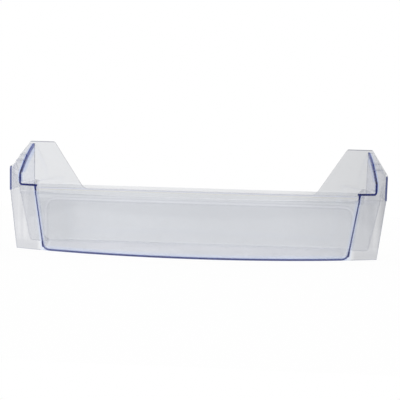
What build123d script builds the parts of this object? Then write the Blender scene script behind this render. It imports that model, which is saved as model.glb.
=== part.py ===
import os
from math import radians, tan
from build123d import *

# Sizes in mm. X runs along the shelf, Y from front to rear, Z up from the table.
# Overall outline, seen from the front: each side runs in or out from the flange's top corner
flange_width = 464.0
foot_taper = 9.0
shoulder_reach = 11.5
shoulder_height = 101.0
crown_inset = 8.5
shelf_height = 132.0
front_height = 72.5
rear_height = 71.0
ledge_height = 81.0
bin_depth = 104.0
bow_radius = 669.0

# Wall thicknesses and the rounding of free edges
wall = 2.4
floor_wall = 2.0
thin_wall = 1.6
edge_radius = 0.6

# Lower end walls: how far they lean in to the foot, and how far they open out to the rear
end_wall_lean = 12.0
end_wall_splay = 17.0
end_wall_corner = 9.0

# Upper end walls: a ledge, and a cheek whose front edge turns back at a knee and sweeps up to the rear
pocket_width = 12.1
ledge_width = 20.9
cheek_proud = 0.5
knee_rise = 7.0
knee_radius = 8.0
knee_turn = 50.0
cheek_crown = 129.5
cheek_bend = 4.0
ledge_lip = 1.5

# Hood that closes the pocket in front and above, with two fine ribs across it
hood_ribs = [108.0, 115.0]
rib_width = 1.2
rib_stand = 0.8
hood_bend = 6.0
strip_setback = 1.2

# Outer ear, a low wall between flange and rear plate
ear_proud = 2.0
ear_rise = 1.0
ear_corner_radius = 5.0

# Wings of the rear plate
wing_width = 32.0
wing_lean = 39.5
wing_corner_radius = 3.0
wing_foot_radius = 12.0
plate_corner_radius = 5.0

# Recessed panel in the rear plate, with sloping sides
panel_margin = 2.1
panel_height = 53.5
panel_depth = 3.0
panel_radius = 10.0
panel_slope = 58.0

# Rim along the back of the rear plate: a short web and an upright skirt
rim_margin = 16.0
rim_reach = 9.0
rim_rise = 4.0
rim_skirt = 14.0

# Places that follow from the sizes
total_depth = bin_depth + rim_reach
front_y = -total_depth / 2
plate_y = front_y + bin_depth
seat_y = plate_y - wall / 2
bow_center_y = front_y + bow_radius
strip_foot = front_height - 2 * wall
ear_height = shoulder_height + ear_rise
knee_height = ledge_height + knee_rise
slack = 20.0

# Half-widths that follow from the flange's width
flange_edge = flange_width / 2
foot_edge = flange_edge - foot_taper
shoulder_edge = flange_edge + shoulder_reach
crown_edge = flange_edge - crown_inset
cheek_outside = flange_edge - pocket_width
cheek_inside = cheek_outside - wall
end_wall_top = cheek_outside - ledge_width
end_wall_foot = end_wall_top - end_wall_lean
wing_inner_top = crown_edge - wing_width
wing_inner_foot = wing_inner_top - wing_lean
panel_edge = end_wall_foot + end_wall_splay - wall - panel_margin
rim_end = flange_edge - rim_margin


def between(low, high, part):
    return low + (high - low) * part


def flange_half(z):
    return between(foot_edge, flange_edge, z / front_height)


def plate_half(z):
    return between(foot_edge, shoulder_edge, z / shoulder_height)


def elevation(face, y_front, y_rear, slope=0.0):
    return extrude(Plane.XZ.offset(-y_rear) * face, y_rear - y_front, taper=-slope)


def side_profile(face, x_low, x_high):
    return Pos(x_low, 0, 0) * extrude(Plane.YZ * face, x_high - x_low)


def polygon(points):
    return make_face(Polyline(*points, close=True))


def corners_near(face, points):
    return [face.vertices().sort_by_distance(Vector(x, y, 0))[0] for x, y in points]


def bow(setback):
    return Pos(0, bow_center_y, 0) * Cylinder(bow_radius - setback, 2 * shelf_height)


def bow_y(x):
    return bow_center_y - (bow_radius**2 - x**2) ** 0.5


def both_ends(solid):
    return solid + mirror(solid, about=Plane.YZ)


# Bowed front, which runs on past the end walls as a flange
front_outline = polygon([
    (-flange_half(0), 0),
    (flange_half(0), 0),
    (flange_half(front_height), front_height),
    (-flange_half(front_height), front_height),
])
front = elevation(front_outline, front_y - slack, plate_y - 2 * wall) & (bow(0) - bow(wall))
front = fillet(front.edges().filter_by_position(Axis.Z, wall, front_height), edge_radius)

# Rear plate with its two wings, rounded where its top edges are free
plate_right = [
    (plate_half(0), 0),
    (plate_half(shoulder_height), shoulder_height),
    (crown_edge, shelf_height),
    (wing_inner_top, shelf_height),
    (wing_inner_foot, rear_height),
]
plate_face = polygon(plate_right + [(-x, z) for x, z in reversed(plate_right)])
wing_tops = [(s * x, shelf_height) for s in (-1, 1) for x in (crown_edge, wing_inner_top)]
wing_feet = [(s * wing_inner_foot, rear_height) for s in (-1, 1)]
plate_feet = [(s * plate_half(0), 0) for s in (-1, 1)]
plate_face = fillet(corners_near(plate_face, wing_tops), wing_corner_radius)
plate_face = fillet(corners_near(plate_face, wing_feet), wing_foot_radius)
plate_face = fillet(corners_near(plate_face, plate_feet), plate_corner_radius)
plate = elevation(plate_face, plate_y - wall, plate_y)
top_edges = plate.edges().filter_by_position(Axis.Z, rear_height - wall, shelf_height)
top_edges = top_edges.filter_by_position(Axis.X, -crown_edge, crown_edge)
plate = fillet(top_edges.filter_by(Axis.Y, reverse=True), edge_radius)


# Recessed panel: one sloping tray for the outside, a second one for the hollow
def tray(grow, foot, y_rear):
    half = panel_edge + grow
    top = panel_height + grow
    face = polygon([(-half, -slack), (half, -slack), (half, top), (-half, top)])
    face = fillet(corners_near(face, [(-half, top), (half, top)]), panel_radius + grow)
    room = polygon([
        (-foot_edge, foot),
        (foot_edge, foot),
        (foot_edge, shelf_height),
        (-foot_edge, shelf_height),
    ])
    return elevation(face, plate_y - wall, y_rear, panel_slope) & elevation(room, front_y, y_rear)


panel_grow = wall * tan(radians(45 - panel_slope / 2))
panel = tray(panel_grow, 0, plate_y + panel_depth)
recess = tray(0, floor_wall, plate_y + panel_depth - wall)

# Floor and lower end walls, one bent sheet per half, drawn along the splayed direction
trough_face = polygon([
    (-2 * end_wall_splay, 0),
    (end_wall_foot, 0),
    (end_wall_top, ledge_height),
    (end_wall_top - thin_wall, ledge_height),
    (end_wall_foot - thin_wall, floor_wall),
    (-2 * end_wall_splay, floor_wall),
])
trough_face = fillet(corners_near(trough_face, [(end_wall_foot, 0)]), end_wall_corner)
trough_face = fillet(corners_near(trough_face, [(end_wall_foot - thin_wall, floor_wall)]), end_wall_corner - thin_wall)
end_wall_y = bow_y(end_wall_top)
splay_way = (end_wall_splay, plate_y - end_wall_y, 0)
trough_half = extrude(Plane.XZ.offset(-end_wall_y) * trough_face, bin_depth, dir=splay_way, both=True)
bin_plan = polygon([
    (-flange_edge, front_y),
    (flange_edge, front_y),
    (flange_edge, seat_y),
    (-flange_edge, seat_y),
])
trough = both_ends(trough_half) & bow(wall / 2) & (extrude(bin_plan, shelf_height) + panel)

# Ledge and cheek, one sheet bent where they meet, with a small lip over the end wall
cheek_foot = ledge_height - wall
cheek_toe_y = bow_y(cheek_outside) - cheek_proud


def cheek_profile(foot):
    toe = (cheek_toe_y, foot)
    heel = (seat_y, foot)
    crown = (seat_y, cheek_crown)
    rise = Line(toe, (cheek_toe_y, knee_height))
    knee = JernArc(rise @ 1, rise % 1, knee_radius, -knee_turn)
    sweep = TangentArc(knee @ 1, crown, tangent=knee % 1)
    return make_face([rise, knee, sweep, Line(crown, heel), Line(heel, toe)])


lip_front = end_wall_top - wall - ledge_lip
sheet_face = polygon([
    (lip_front, cheek_foot),
    (cheek_outside, cheek_foot),
    (cheek_outside, shelf_height),
    (cheek_inside, shelf_height),
    (cheek_inside, ledge_height),
    (lip_front, ledge_height),
])
sheet_face = fillet(corners_near(sheet_face, [(cheek_outside, cheek_foot)]), cheek_bend)
sheet_face = fillet(corners_near(sheet_face, [(cheek_inside, ledge_height)]), cheek_bend - wall)
ledge_plan = polygon([
    (lip_front, end_wall_y),
    (lip_front + end_wall_splay, plate_y),
    (cheek_outside, plate_y),
    (cheek_outside, front_y),
    (lip_front, front_y),
])
ledge_room = Pos(0, 0, cheek_foot) * extrude(ledge_plan, wall)
cheek_room = side_profile(cheek_profile(cheek_foot), cheek_inside - cheek_bend, cheek_outside)
end_sheet = elevation(sheet_face, front_y, seat_y) & (ledge_room + cheek_room) & bow(strip_setback)

# Hood from the cheek to the outside, set back a little above the flange and bent where it turns up
hood_outline = polygon([
    (cheek_outside - wall / 2, strip_foot),
    (flange_edge - wall / 2, strip_foot),
    (flange_edge - wall / 2, ear_height),
    (crown_edge, shelf_height),
    (cheek_outside - wall / 2, shelf_height),
])
hood_solid = side_profile(cheek_profile(strip_foot), cheek_inside, flange_edge)
hood_middle = (cheek_outside + flange_edge) / 2
crease_near = Vertex(hood_middle, bow_y(hood_middle), knee_height + knee_radius)


def hood_block(inset):
    block = Pos(0, inset, -inset) * hood_solid & bow(strip_setback + inset)
    return fillet(block.edges().sort_by_distance(crease_near)[0], hood_bend - inset)


hood_hollow = hood_block(thin_wall)
hood = hood_block(0) - hood_hollow
for height in hood_ribs:
    rib_face = polygon([
        (cheek_inside, height),
        (flange_edge, height),
        (flange_edge, height + rib_width),
        (cheek_inside, height + rib_width),
    ])
    hood += (Pos(0, -rib_stand, rib_stand) * hood_solid - hood_hollow) & elevation(rib_face, front_y, seat_y)
hood = hood & elevation(hood_outline, front_y, plate_y)

# Strip of front between end wall and hood, under the ledge's edge
strip_face = polygon([
    (end_wall_top - wall, strip_foot),
    (cheek_outside, strip_foot),
    (cheek_outside, ledge_height),
    (end_wall_top - wall, ledge_height),
])
strip = elevation(strip_face, front_y, seat_y) & (bow(strip_setback) - bow(strip_setback + wall))

# Outer ear, ruled from its upright front edge to the leaning edge of the rear plate
ear_front_y = bow_y(flange_edge) - ear_proud


def ear_section(y, half_low, half_high):
    return Plane.XZ.offset(-y) * polygon([
        (half_low - wall, front_height),
        (half_low, front_height),
        (half_high, ear_height),
        (half_high - wall, ear_height),
    ])


ear_sheet = loft([
    ear_section(ear_front_y, flange_edge, flange_edge),
    ear_section(seat_y, plate_half(front_height), shoulder_edge),
], ruled=True)
ear_corner = Vertex(flange_edge - wall / 2, ear_front_y, ear_height)
ear = fillet(ear_sheet.edges().sort_by_distance(ear_corner)[0], ear_corner_radius)

# Rim along the back
rim_back = plate_y + rim_reach
rim_top = rear_height + rim_rise
rim_face = polygon([
    (seat_y, rear_height - wall),
    (seat_y, rear_height),
    (rim_back - thin_wall, rear_height),
    (rim_back - thin_wall, rim_top),
    (rim_back, rim_top),
    (rim_back, rim_top - rim_skirt),
    (rim_back - thin_wall, rim_top - rim_skirt),
    (rim_back - thin_wall, rear_height - wall),
])
rim_tips = [(y, z) for y in (rim_back, rim_back - thin_wall) for z in (rim_top, rim_top - rim_skirt)]
rim_face = fillet(corners_near(rim_face, rim_tips), thin_wall / 3)
rim = side_profile(rim_face, -rim_end, rim_end)

ends = both_ends(end_sheet + strip + hood + ear)
door_shelf = (plate + panel - recess) + rim + trough + front + ends

os.makedirs("parts", exist_ok=True)
door_shelf.label = "door_shelf"
export_step(door_shelf, "parts/door_shelf.step")
print("solids", len(door_shelf.solids()), "valid", door_shelf.is_valid)
print("volume cm3", round(door_shelf.volume / 1000, 2))
print("box", door_shelf.bounding_box())
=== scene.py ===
import math

import bpy
import numpy as np
from mathutils import Matrix, Vector

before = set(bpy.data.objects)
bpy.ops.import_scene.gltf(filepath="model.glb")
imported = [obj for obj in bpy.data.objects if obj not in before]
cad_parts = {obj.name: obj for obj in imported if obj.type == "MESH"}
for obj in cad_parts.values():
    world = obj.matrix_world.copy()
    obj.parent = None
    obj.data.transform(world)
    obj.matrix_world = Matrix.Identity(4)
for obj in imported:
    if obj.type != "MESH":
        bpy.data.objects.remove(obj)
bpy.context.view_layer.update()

print("frame loaded:", sorted(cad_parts))

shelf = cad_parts["door_shelf"]
white = (1.0, 1.0, 1.0, 1.0)
navy = (0.005, 0.014, 0.18, 1.0)


# small helpers for node trees

mixSockets = {"FLOAT": (2, 3, 0), "RGBA": (6, 7, 2)}   # a Mix node's two inputs and its output


def newTree(owner):
    owner.use_nodes = True
    owner.node_tree.nodes.clear()
    return owner.node_tree


def addNode(tree, kind, settings=None, **sockets):
    # settings are the node's own fields, sockets its unlinked input values
    node = tree.nodes.new(kind)
    for field, value in (settings or {}).items():
        setattr(node, field, value)
    for socket, value in sockets.items():
        node.inputs[socket.replace("_", " ")].default_value = value
    return node


def feed(tree, value, socket):
    # a link from another node's output, or a plain number or colour
    if isinstance(value, bpy.types.NodeSocket):
        tree.links.new(value, socket)
    else:
        socket.default_value = value


def mathNode(tree, operation, first, second=0.0):
    node = addNode(tree, "ShaderNodeMath", {"operation": operation})
    feed(tree, first, node.inputs[0])
    feed(tree, second, node.inputs[1])
    return node.outputs[0]


def plus(tree, first, second):
    return mathNode(tree, "ADD", first, second)


def minus(tree, first, second):
    return mathNode(tree, "SUBTRACT", first, second)


def larger(tree, first, second):
    return mathNode(tree, "MAXIMUM", first, second)


def times(tree, *values):
    product = values[0]
    for value in values[1:]:
        product = mathNode(tree, "MULTIPLY", product, value)
    return product


def distance(tree, first, second):
    # length of the way with these two legs
    return mathNode(tree, "SQRT", plus(tree, times(tree, first, first), times(tree, second, second)))


def blend(tree, share, first, second):
    # first where share is 0, second where it is 1
    kind = "RGBA" if isinstance(second, tuple) else "FLOAT"
    node = addNode(tree, "ShaderNodeMix", {"data_type": kind})
    firstInput, secondInput, result = mixSockets[kind]
    feed(tree, share, node.inputs[0])
    feed(tree, first, node.inputs[firstInput])
    feed(tree, second, node.inputs[secondInput])
    return node.outputs[result]


def rise(tree, value, ramp):
    # 0 at the ramp's first end and 1 at its second one, eased in between
    smooth = {"interpolation_type": "SMOOTHSTEP"}
    node = addNode(tree, "ShaderNodeMapRange", smooth, From_Min=ramp[0], From_Max=ramp[1])
    feed(tree, value, node.inputs["Value"])
    return node.outputs["Result"]


def within(tree, value, stretch, soft):
    # 1 inside the stretch and 0 outside, with soft ends
    low, high = stretch
    begins = rise(tree, value, (low - soft, low + soft))
    ends = rise(tree, value, (high + soft, high - soft))
    return times(tree, begins, ends)


def axes(tree, vector):
    node = addNode(tree, "ShaderNodeSeparateXYZ")
    feed(tree, vector, node.inputs[0])
    return node.outputs["X"], node.outputs["Y"], node.outputs["Z"]


# where a face lies on the shelf and which way it looks
# a ramp's name ends with what it runs along, in metres: Along is X, Side the distance from the middle,
# Deep is Y, Up is Z, Past the distance past a leaning edge and Reach the distance from a centre

spotLook = {
    "footSide": 0.223,                       # flange and rear plate at the foot
    "flangeLean": 0.1241,                    # and what they gain per metre of height
    "plateLean": 0.203,
    "wallLean": 0.148,                       # the same for the lower end walls
    "facing": (0.2, 0.4),                    # share of Y in the normal: looks to the front or the rear
    "edgeOn": (0.7, 0.55),                   # looks to a side, up or down
    "rearDeep": (0.0, 0.04),                 # from the bowed front to the rear plate
    "aheadDeep": (-0.008, -0.012),           # in front of the ledges
}


def shelfSpots(tree, look):
    texture = addNode(tree, "ShaderNodeTexCoord").outputs
    x, y, z = axes(tree, texture["Object"])
    side = mathNode(tree, "ABSOLUTE", x)
    normalX, normalY = axes(tree, texture["Normal"])[:2]
    lookY = mathNode(tree, "ABSOLUTE", normalY)
    rear = rise(tree, y, look["rearDeep"])
    return {
        "place": texture["Object"],
        "x": x,
        "y": y,
        "z": z,
        "side": side,
        "pastFlange": minus(tree, side, plus(tree, times(tree, z, look["flangeLean"]), look["footSide"])),
        "pastPlate": minus(tree, side, plus(tree, times(tree, z, look["plateLean"]), look["footSide"])),
        "wallSide": minus(tree, side, times(tree, z, look["wallLean"])),
        "lookX": mathNode(tree, "ABSOLUTE", normalX),
        "lookY": lookY,
        "facing": rise(tree, lookY, look["facing"]),
        "edgeOn": rise(tree, lookY, look["edgeOn"]),
        "rear": rear,
        "front": minus(tree, 1.0, rear),
        "ahead": rise(tree, y, look["aheadDeep"]),
    }


def where(tree, spot, **ramps):
    # 1 where each of the named coordinates is past its ramp
    return times(tree, *[rise(tree, spot[name], ramp) for name, ramp in ramps.items()])


# bowed front

frontLook = {
    "tint": (0.875, 0.885, 0.89, 1.0),       # what it lets through
    "haze": (0.815, 0.825, 0.83, 1.0),       # a hazy stretch at its left end
    "hazeAlong": (-0.135, -0.155),
    "hazeUp": (0.066, 0.058),
    "clear": (0.92, 0.93, 0.935, 1.0),       # a clearer one at its right end
    "clearAlong": (0.11, 0.16),
    "brim": (0.935, 0.945, 0.945, 1.0),      # under its upper edge
    "brimUp": (0.0645, 0.0665),
    "foot": (0.925, 0.93, 0.925, 1.0),       # painted lighter below the line where the floor shows behind it
    "footUp": (0.0078, 0.0056),
    "footTilt": 0.1635,                      # that line rises as the front bows out
    "glow": (0.86, 0.905, 0.985, 1.0),       # painted blue light beside its painted dark lines
    "wallGlowSide": (0.1826, 0.1894),        # along the end walls, less their lean
    "wallGlowSoft": 0.0012,
    "wallGlowUp": (0.081, 0.080),
    "toeGlowSide": (0.190, 0.186),           # along the lower edge
    "toeGlowUp": (0.0070, 0.0040),
    "toe": (0.66, 0.72, 0.88, 1.0),          # painted dark blue shade over the last millimetres above the lower edge
    "toeSide": (0.187, 0.184),
    "toeUp": (0.0036, 0.0026),
    "wallEnd": navy,                         # painted navy shade at the ends of the line where the end wall meets the front
    "wallEndSide": (0.1848, 0.1872),         # less the wall's lean
    "wallEndSoft": 0.0004,
    "wallTopUp": (0.0735, 0.0808),
    "wallTopSoft": 0.0008,
    "wallFootUp": (0.0040, 0.0110),
    "wallFootSoft": 0.0010,
}


def frontTint(tree, spot, look):
    tint = blend(tree, where(tree, spot, x=look["hazeAlong"], z=look["hazeUp"]), look["tint"], look["haze"])
    tint = blend(tree, where(tree, spot, x=look["clearAlong"]), tint, look["clear"])
    tint = blend(tree, where(tree, spot, z=look["brimUp"]), tint, look["brim"])
    # painted light: the front is tinted lighter below the line where the floor shows behind it
    sill = plus(tree, spot["z"], times(tree, spot["y"], look["footTilt"]))
    return blend(tree, rise(tree, sill, look["footUp"]), tint, look["foot"])


def frontGlow(tree, spot, look, tint):
    wall = within(tree, spot["wallSide"], look["wallGlowSide"], look["wallGlowSoft"])
    wall = times(tree, wall, where(tree, spot, z=look["wallGlowUp"]))
    toe = where(tree, spot, z=look["toeGlowUp"], side=look["toeGlowSide"])
    glow = times(tree, larger(tree, wall, toe), spot["facing"], spot["ahead"])
    tint = blend(tree, glow, tint, look["glow"])
    # painted shade: a dark blue line over the last millimetres above the lower edge
    toe = where(tree, spot, z=look["toeUp"], side=look["toeSide"])
    return blend(tree, times(tree, toe, spot["facing"], spot["front"]), tint, look["toe"])


def wallEnds(tree, spot, look, tint):
    # painted shade: navy spots at the top and foot of the line where the end wall meets the front
    line = within(tree, spot["wallSide"], look["wallEndSide"], look["wallEndSoft"])
    top = within(tree, spot["z"], look["wallTopUp"], look["wallTopSoft"])
    foot = within(tree, spot["z"], look["wallFootUp"], look["wallFootSoft"])
    ends = times(tree, line, larger(tree, top, foot), spot["facing"], spot["ahead"])
    return blend(tree, ends, tint, look["wallEnd"])


# flange: the two ends of the front, past the end walls

flangeLook = {
    "tint": (0.92, 0.92, 0.92, 1.0),
    "tintSide": (0.190, 0.202),
    "sideShade": (0.84, 0.845, 0.86, 1.0),   # darker towards its sides
    "sideShadePast": (-0.009, 0.0),
    "footShade": (0.72, 0.725, 0.735, 1.0),  # and towards its foot
    "footShadeSide": (0.190, 0.196),
    "footShadeUp": (0.020, 0.006),
    "streak": (0.74, 0.745, 0.76, 1.0),      # flow streaks
    "streakShare": 0.7,
    "streakSide": (0.190, 0.205),
    "streakScale": (170.0, 170.0, 5.0),      # per metre, long along Z
    "streakDetail": 2.0,
    "streakNoise": (0.45, 0.75),
    "edge": (0.22, 0.24, 0.32, 1.0),         # painted dark shade on the cut edges at its sides and foot
    "beside": (0.62, 0.63, 0.68, 1.0),       # painted grey shade on faces close to them
    "besidePast": (-0.0010, -0.0006),
    "besideUp": (0.0724, 0.0720),
    "footEdgeSide": (0.189, 0.191),
    "footEdgeUp": (0.0010, 0.0006),
    "edgeDeep": (0.0, -0.005),
}


def flangeTint(tree, spot, look, tint):
    tint = blend(tree, where(tree, spot, side=look["tintSide"]), tint, look["tint"])
    tint = blend(tree, where(tree, spot, pastFlange=look["sideShadePast"]), tint, look["sideShade"])
    foot = where(tree, spot, z=look["footShadeUp"], side=look["footShadeSide"])
    return blend(tree, times(tree, foot, spot["front"]), tint, look["footShade"])


def flowStreaks(tree, spot, look, tint):
    # upright streaks: noise stretched along Z
    stretch = addNode(tree, "ShaderNodeMapping", Scale=look["streakScale"])
    feed(tree, spot["place"], stretch.inputs["Vector"])
    noise = addNode(tree, "ShaderNodeTexNoise", Scale=1.0, Detail=look["streakDetail"])
    feed(tree, stretch.outputs["Vector"], noise.inputs["Vector"])
    streaks = times(tree, rise(tree, noise.outputs["Fac"], look["streakNoise"]), look["streakShare"])
    streaks = times(tree, streaks, where(tree, spot, side=look["streakSide"]), spot["front"])
    return blend(tree, streaks, tint, look["streak"])


def flangeEdges(tree, spot, look, tint):
    # painted shade along the flange's sides and foot: grey on the faces close to the edges, dark on the
    # edge-on faces
    sides = where(tree, spot, pastFlange=look["besidePast"], z=look["besideUp"])
    foot = where(tree, spot, z=look["footEdgeUp"], side=look["footEdgeSide"])
    edges = times(tree, larger(tree, sides, foot), where(tree, spot, y=look["edgeDeep"]))
    tint = blend(tree, times(tree, edges, spot["facing"]), tint, look["beside"])
    return blend(tree, times(tree, edges, spot["edgeOn"]), tint, look["edge"])


# rear plate with its wings, rim and recessed panel

plateLook = {
    "tint": (0.925, 0.93, 0.925, 1.0),
    "thickDeep": (0.0455, 0.0477),           # between its two faces
    "thickSoft": 0.0002,
    "edge": (0.22, 0.24, 0.30, 1.0),         # painted dark shade on the cut edges of the wings
    "edgeSide": (0.206, 0.208),
    "edgeUp": (0.003, 0.004),
    "beside": (0.62, 0.63, 0.68, 1.0),       # painted grey shade on faces close to them
    "besidePast": (-0.0012, -0.0008),
    "besideUp": (0.100, 0.098),
    "footEdgeSide": (0.203, 0.205),
    "footEdgeUp": (0.0011, 0.0007),
    "top": (0.40, 0.41, 0.46, 1.0),          # painted dark shade along the upper edges of the wings
    "topUp": (0.1308, 0.1312),
    "web": (0.96, 0.945, 0.86, 1.0),         # warmer before the rim's web, which is deep and turns blue
    "webSide": (0.2165, 0.2150),
    "webUp": (0.0680, 0.0698),
    "webSoft": 0.0006,
    "slopeLook": (0.96, 0.90),               # share of Y in the normal: sloping sides of the panel
    "slopeLeast": (0.3, 0.4),
    "slopeUp": (0.066, 0.062),
    "slopeHighlight": white,                     # painted highlight on their front half
    "slopeFrontDeep": (0.0451, 0.0469),
    "slopeFrontSoft": 0.0003,
    "slopeShade": (0.78, 0.78, 0.80, 1.0),    # and painted shade on their rear half
    "slopeRearDeep": (0.0471, 0.0482),
    "slopeRearSoft": 0.0002,
}


def plateEdges(tree, spot, look, tint):
    # painted shade along the wings' edges: grey on faces close to them, dark along their upper edges and on
    # edge-on faces
    thick = within(tree, spot["y"], look["thickDeep"], look["thickSoft"])
    sides = where(tree, spot, pastPlate=look["besidePast"], z=look["besideUp"])
    foot = where(tree, spot, z=look["footEdgeUp"], side=look["footEdgeSide"])
    tint = blend(tree, times(tree, thick, spot["facing"], larger(tree, sides, foot)), tint, look["beside"])
    tint = blend(tree, times(tree, where(tree, spot, z=look["topUp"]), spot["rear"]), tint, look["top"])
    outer = larger(tree, where(tree, spot, z=look["edgeUp"]), where(tree, spot, side=look["edgeSide"]))
    tint = blend(tree, times(tree, thick, spot["edgeOn"], outer), tint, look["edge"])
    web = times(tree, within(tree, spot["z"], look["webUp"], look["webSoft"]), spot["rear"], spot["facing"])
    return blend(tree, times(tree, web, where(tree, spot, side=look["webSide"])), tint, look["web"])


def panelSlopes(tree, spot, look, tint):
    # painted light and shade on the panel's sloping sides: a highlight on their front half, shade on their
    # rear half
    slope = where(tree, spot, lookY=look["slopeLook"], z=look["slopeUp"])
    slope = times(tree, slope, where(tree, spot, lookY=look["slopeLeast"]))
    frontHalf = within(tree, spot["y"], look["slopeFrontDeep"], look["slopeFrontSoft"])
    rearHalf = within(tree, spot["y"], look["slopeRearDeep"], look["slopeRearSoft"])
    tint = blend(tree, times(tree, slope, frontHalf), tint, look["slopeHighlight"])
    return blend(tree, times(tree, slope, rearHalf), tint, look["slopeShade"])


# upper ends: ledge, cheek and hood

cheekLook = {
    "edge": navy,                            # painted navy shade on the front edges of ledge and cheek
    "bendSide": 0.2159,                      # centre of the bend between them
    "bendUp": 0.0826,
    "bandReach": (0.0014, 0.0041),           # distance from that centre
    "bandSoft": 0.0002,
    "bandSide": (0.194, 0.195),
    "bandDeep": (0.045, 0.044),
    "bandUp": (0.0770, 0.0775),
    "bandLook": (0.6, 0.4),                  # share of X in the normal: not the cheek's own faces
    "cheekUp": (0.088, 0.090),               # from the ledge's edge to the cheek's
    "sweepDeep": 0.1074,                     # centre of the circle that the cheek's front edge follows
    "sweepUp": -0.0540,
    "kneeUp": (0.092, 0.095),                # above the knee by that circle, below it straight
    "stripReach": (0.1893, 0.1903),          # the cheek's faces stay painted navy shade for a few millimetres
    "stripDeep": (-0.0158, -0.0166),
    "stripUp": (0.083, 0.084),
    "stripSide": (0.2171, 0.2179),
    "stripSoft": 0.0001,
    "stripLook": (0.6, 0.8),
    "glow": (0.72, 0.80, 1.0, 1.0),          # and glow blue behind that
    "glowReach": (0.178, 0.186),
    "glowDeep": (-0.006, -0.013),
    "glowUp": (0.082, 0.083),
    "glowSide": (0.2168, 0.2216),
    "glowSoft": 0.0006,
    "hoodDeep": (0.0445, 0.0440),            # in front of the rear plate
    "rib": (0.58, 0.59, 0.64, 1.0),          # fine ribs across the hood
    "ribSide": (0.2200, 0.2204),
    "lowRibUp": (0.1081, 0.1091),
    "highRibUp": (0.1151, 0.1161),
    "ribSoft": 0.0002,
}


def behindEdge(tree, spot, look, name):
    # 1 close behind the cheek's front edge
    sweep = distance(tree, minus(tree, spot["y"], look["sweepDeep"]), minus(tree, spot["z"], look["sweepUp"]))
    aboveKnee = where(tree, spot, z=look["kneeUp"])
    belowKnee = where(tree, spot, z=look["kneeUp"][::-1])
    upper = times(tree, rise(tree, sweep, look[name + "Reach"]), aboveKnee)
    lower = times(tree, where(tree, spot, y=look[name + "Deep"], z=look[name + "Up"]), belowKnee)
    wall = within(tree, spot["side"], look[name + "Side"], look[name + "Soft"])
    return times(tree, larger(tree, upper, lower), wall)


def cheekEdges(tree, spot, look, tint):
    glow = times(tree, behindEdge(tree, spot, look, "glow"), where(tree, spot, y=look["hoodDeep"]))
    tint = blend(tree, glow, tint, look["glow"])

    # one band of painted navy shade for both front edges, bent round the corner where they meet
    across = larger(tree, minus(tree, spot["side"], look["bendSide"]), 0.0)
    below = larger(tree, minus(tree, look["bendUp"], spot["z"]), 0.0)
    band = within(tree, distance(tree, across, below), look["bandReach"], look["bandSoft"])
    band = times(tree, band, where(tree, spot, side=look["bandSide"], y=look["bandDeep"]))
    band = times(tree, band, where(tree, spot, z=look["bandUp"], lookX=look["bandLook"]))
    cheek = where(tree, spot, z=look["cheekUp"])
    band = times(tree, band, larger(tree, spot["facing"], cheek), larger(tree, spot["ahead"], cheek))
    tint = blend(tree, band, tint, look["edge"])

    # painted navy shade on the cheek's faces close behind its front edge
    strip = times(tree, behindEdge(tree, spot, look, "strip"), where(tree, spot, lookX=look["stripLook"]))
    return blend(tree, strip, tint, look["edge"])


def hoodRibs(tree, spot, look, tint):
    low = within(tree, spot["z"], look["lowRibUp"], look["ribSoft"])
    high = within(tree, spot["z"], look["highRibUp"], look["ribSoft"])
    ribs = where(tree, spot, side=look["ribSide"], y=look["hoodDeep"])
    return blend(tree, times(tree, larger(tree, low, high), ribs), tint, look["rib"])


# clear plastic of the whole shelf

plasticLook = {
    "ior": 1.585,                            # clear styrene plastic
    "insideTint": (0.10, 0.18, 0.56, 1.0),   # long ways inside the wall turn blue
    "insideDensity": 30.0,                   # absorption per metre
    "sideTint": white,                       # floor, ledges, cheeks and end walls
    "cloudTint": (0.80, 0.805, 0.80, 1.0),   # cloudy patches
    "cloudShare": 0.35,
    "cloudScale": 14.0,                      # patches per metre
    "cloudDetail": 3.0,
    "cloudRoughness": 0.55,
    "smooth": 0.03,                          # surface roughness between the patches
    "dull": 0.12,                            # and on them
    "waveScale": 30.0,                       # slow waviness of the moulded faces
    "waveDetail": 1.0,
    "waveHeight": 0.00004,
}


def plasticTint(tree, spot, look, cloud):
    tint = frontTint(tree, spot, frontLook)
    tint = flangeTint(tree, spot, flangeLook, tint)
    tint = blend(tree, spot["rear"], tint, plateLook["tint"])
    tint = blend(tree, times(tree, cloud, look["cloudShare"]), tint, look["cloudTint"])
    tint = flowStreaks(tree, spot, flangeLook, tint)
    tint = blend(tree, minus(tree, 1.0, spot["facing"]), tint, look["sideTint"])
    tint = frontGlow(tree, spot, frontLook, tint)
    tint = plateEdges(tree, spot, plateLook, tint)
    tint = flangeEdges(tree, spot, flangeLook, tint)
    tint = cheekEdges(tree, spot, cheekLook, tint)
    tint = wallEnds(tree, spot, frontLook, tint)
    tint = hoodRibs(tree, spot, cheekLook, tint)
    return panelSlopes(tree, spot, plateLook, tint)


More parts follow.
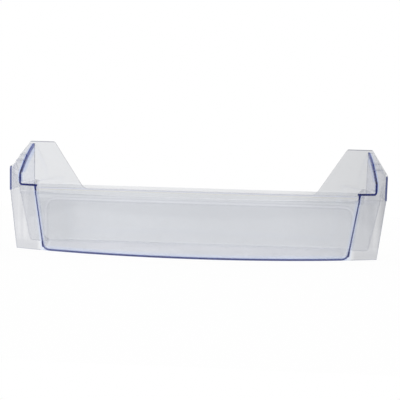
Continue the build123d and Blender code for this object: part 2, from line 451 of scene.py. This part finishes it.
def clearPlastic(look):
    material = bpy.data.materials.new("clear_plastic")
    tree = newTree(material)
    output = addNode(tree, "ShaderNodeOutputMaterial")
    spot = shelfSpots(tree, spotLook)

    cloud = addNode(tree, "ShaderNodeTexNoise", Scale=look["cloudScale"], Detail=look["cloudDetail"])
    feed(tree, look["cloudRoughness"], cloud.inputs["Roughness"])
    feed(tree, spot["place"], cloud.inputs["Vector"])
    roughness = addNode(tree, "ShaderNodeMapRange", To_Min=look["smooth"], To_Max=look["dull"])
    feed(tree, cloud.outputs["Fac"], roughness.inputs["Value"])

    wave = addNode(tree, "ShaderNodeTexNoise", Scale=look["waveScale"], Detail=look["waveDetail"])
    feed(tree, spot["place"], wave.inputs["Vector"])
    bump = addNode(tree, "ShaderNodeBump", Strength=1.0, Distance=look["waveHeight"])
    feed(tree, wave.outputs["Fac"], bump.inputs["Height"])

    surface = addNode(tree, "ShaderNodeBsdfPrincipled", IOR=look["ior"], Transmission_Weight=1.0)
    feed(tree, plasticTint(tree, spot, look, cloud.outputs["Fac"]), surface.inputs["Base Color"])
    feed(tree, roughness.outputs["Result"], surface.inputs["Roughness"])
    feed(tree, bump.outputs["Normal"], surface.inputs["Normal"])
    inside = addNode(tree, "ShaderNodeVolumeAbsorption", Color=look["insideTint"])
    feed(tree, look["insideDensity"], inside.inputs["Density"])
    feed(tree, surface.outputs[0], output.inputs["Surface"])
    feed(tree, inside.outputs[0], output.inputs["Volume"])
    return material


shelf.data.materials.clear()
shelf.data.materials.append(clearPlastic(plasticLook))
print("shelf dressed in clear plastic")


# floor and backdrop card: white, with a soft fall-off along X where they show through the plastic

stageLook = {
    "reach": 0.60,                           # metres along the shelf, to either side
    "tones": [                               # place along X and grey
        (-0.24, 0.955),
        (-0.17, 0.95),
        (-0.12, 0.985),
        (-0.03, 0.955),
        (0.06, 0.935),
        (0.12, 0.935),
        (0.17, 0.83),
        (0.24, 0.785),
        (0.2485, 0.60),
        (0.27, 0.60),
        (0.32, 0.95),
    ],
    "brightest": 1.0,
    "floorGain": 1.08,                       # the floor is a little brighter than the card
    "floorLeast": 0.80,
    "floorSize": (0.45, 0.45),               # half width and half depth
    "floorDrop": 0.0004,                     # just under the shelf's foot
    "floorColour": (0.93, 0.93, 0.93, 1.0),
    "shadowShare": 0.03,                     # how much of the shelf's shadow shows
    "cardDeep": 0.075,                       # behind the shelf
    "cardSize": (0.6, 0.5),                  # half width and height
}


def stageTone(tree, look):
    along = axes(tree, addNode(tree, "ShaderNodeTexCoord").outputs["Object"])[0]
    place = addNode(tree, "ShaderNodeMapRange", From_Min=-look["reach"], From_Max=look["reach"])
    feed(tree, along, place.inputs["Value"])
    ramp = addNode(tree, "ShaderNodeValToRGB")
    feed(tree, place.outputs["Result"], ramp.inputs["Fac"])
    stops = ramp.color_ramp.elements
    while len(stops) < len(look["tones"]):
        stops.new(1.0)
    for stop, (x, grey) in zip(stops, look["tones"]):
        stop.position = 0.5 + 0.5 * x / look["reach"]
        stop.color = (grey, grey, grey, 1.0)
    return ramp.outputs["Color"]


def stageSheet(name, corners, material):
    mesh = bpy.data.meshes.new(name)
    mesh.from_pydata(corners.tolist(), [], [(0, 1, 2, 3)])
    sheet = bpy.data.objects.new(name, mesh)
    bpy.context.scene.collection.objects.link(sheet)
    mesh.materials.append(material)
    return sheet


def paleFloor(look):
    material = bpy.data.materials.new("pale_floor")
    tree = newTree(material)
    output = addNode(tree, "ShaderNodeOutputMaterial")
    path = addNode(tree, "ShaderNodeLightPath").outputs
    tone = times(tree, larger(tree, stageTone(tree, look), look["floorLeast"]), look["floorGain"])
    tone = mathNode(tree, "MINIMUM", tone, look["brightest"])
    paint = addNode(tree, "ShaderNodeBsdfDiffuse", Color=look["floorColour"])
    glow = addNode(tree, "ShaderNodeEmission", Color=white)
    feed(tree, blend(tree, path["Is Transmission Ray"], look["brightest"], tone), glow.inputs["Strength"])
    through = larger(tree, path["Is Transmission Ray"], path["Is Glossy Ray"])
    share = larger(tree, times(tree, path["Is Camera Ray"], 1.0 - look["shadowShare"]), through)
    mix = addNode(tree, "ShaderNodeMixShader")
    feed(tree, share, mix.inputs[0])
    feed(tree, paint.outputs[0], mix.inputs[1])
    feed(tree, glow.outputs[0], mix.inputs[2])
    feed(tree, mix.outputs[0], output.inputs["Surface"])
    width, depth = look["floorSize"]
    corners = np.array([(-1, -1, 0), (1, -1, 0), (1, 1, 0), (-1, 1, 0)], float) * (width, depth, 0)
    corners[:, 2] = -look["floorDrop"]
    stageSheet("floor", corners, material)


def backdropCard(look):
    # an upright card close behind the shelf, seen only through the plastic
    material = bpy.data.materials.new("backdrop_card")
    tree = newTree(material)
    output = addNode(tree, "ShaderNodeOutputMaterial")
    glow = addNode(tree, "ShaderNodeEmission", Color=white)
    feed(tree, stageTone(tree, look), glow.inputs["Strength"])
    feed(tree, glow.outputs[0], output.inputs["Surface"])
    width, height = look["cardSize"]
    corners = np.array([(-1, 0, 0), (1, 0, 0), (1, 0, 1), (-1, 0, 1)], float) * (width, 0, height)
    corners[:, 1] = look["cardDeep"]
    card = stageSheet("backdrop_card", corners, material)
    card.visible_camera = False
    card.visible_diffuse = False
    card.visible_glossy = False
    card.visible_shadow = False


paleFloor(stageLook)
backdropCard(stageLook)
print("floor and backdrop set")


# studio light

studio = {
    "frontGrey": 0.30,                       # the dim half of the room, behind the camera
    "backWhite": 1.0,
    "turn": (-0.7, 0.3),                     # Y of the direction, from the dim half to the white one
    "keyPlace": (-1.1, -1.2, 1.5),
    "keyTarget": (0.0, 0.0, 0.06),
    "keySize": 2.5,
    "keyPower": 12.0,
}


def studioWorld(look):
    world = bpy.data.worlds.new("studio")
    bpy.context.scene.world = world
    tree = newTree(world)
    output = addNode(tree, "ShaderNodeOutputWorld")
    y = axes(tree, addNode(tree, "ShaderNodeTexCoord").outputs["Generated"])[1]
    depth = addNode(tree, "ShaderNodeMapRange", To_Min=look["frontGrey"], To_Max=look["backWhite"])
    dimEnd, whiteStart = look["turn"]
    feed(tree, dimEnd, depth.inputs["From Min"])
    feed(tree, whiteStart, depth.inputs["From Max"])
    feed(tree, y, depth.inputs["Value"])
    path = addNode(tree, "ShaderNodeLightPath").outputs
    seen = larger(tree, path["Is Camera Ray"], path["Is Transmission Ray"])
    light = addNode(tree, "ShaderNodeBackground", Color=white)
    feed(tree, larger(tree, seen, depth.outputs["Result"]), light.inputs["Strength"])
    feed(tree, light.outputs[0], output.inputs["Surface"])


def softbox(look):
    lamp = bpy.data.lights.new("key_light", "AREA")
    lamp.shape = "SQUARE"
    lamp.size = look["keySize"]
    lamp.energy = look["keyPower"]
    holder = bpy.data.objects.new("key_light", lamp)
    holder.location = look["keyPlace"]
    aim = Vector(look["keyTarget"]) - Vector(look["keyPlace"])
    holder.rotation_euler = aim.to_track_quat("-Z", "Y").to_euler()
    bpy.context.scene.collection.objects.link(holder)


studioWorld(studio)
softbox(studio)
print("studio lit")


# camera at the photograph's angle

view = {
    "place": (0.04693, -0.92509, 0.15855),
    "lens": 66.9,                            # mm
    "sensor": 36.0,
    "yaw": 0.0462,                           # radians
    "pitch": 0.1006,                         # downwards
    "roll": 0.0261,
    "bounces": 32,                           # light passes many clear walls
}


def aimCamera(look):
    yaw, pitch, roll = look["yaw"], look["pitch"], look["roll"]
    forward = Vector((-math.sin(yaw) * math.cos(pitch), math.cos(yaw) * math.cos(pitch), -math.sin(pitch)))
    level = Vector((math.cos(yaw), math.sin(yaw), 0.0))
    upright = level.cross(forward)
    right = math.cos(roll) * level + math.sin(roll) * upright
    up = -math.sin(roll) * level + math.cos(roll) * upright
    lens = bpy.data.cameras.new("camera")
    lens.lens = look["lens"]
    lens.sensor_width = look["sensor"]
    camera = bpy.data.objects.new("camera", lens)
    turn = Matrix((right, up, -forward)).transposed()
    camera.matrix_world = Matrix.Translation(look["place"]) @ turn.to_4x4()
    bpy.context.scene.collection.objects.link(camera)
    bpy.context.scene.camera = camera


aimCamera(view)
bpy.context.scene.view_settings.view_transform = "Standard"
cycles = bpy.context.scene.cycles
cycles.max_bounces = view["bounces"]
cycles.glossy_bounces = view["bounces"]
cycles.transmission_bounces = view["bounces"]
print("camera aimed")
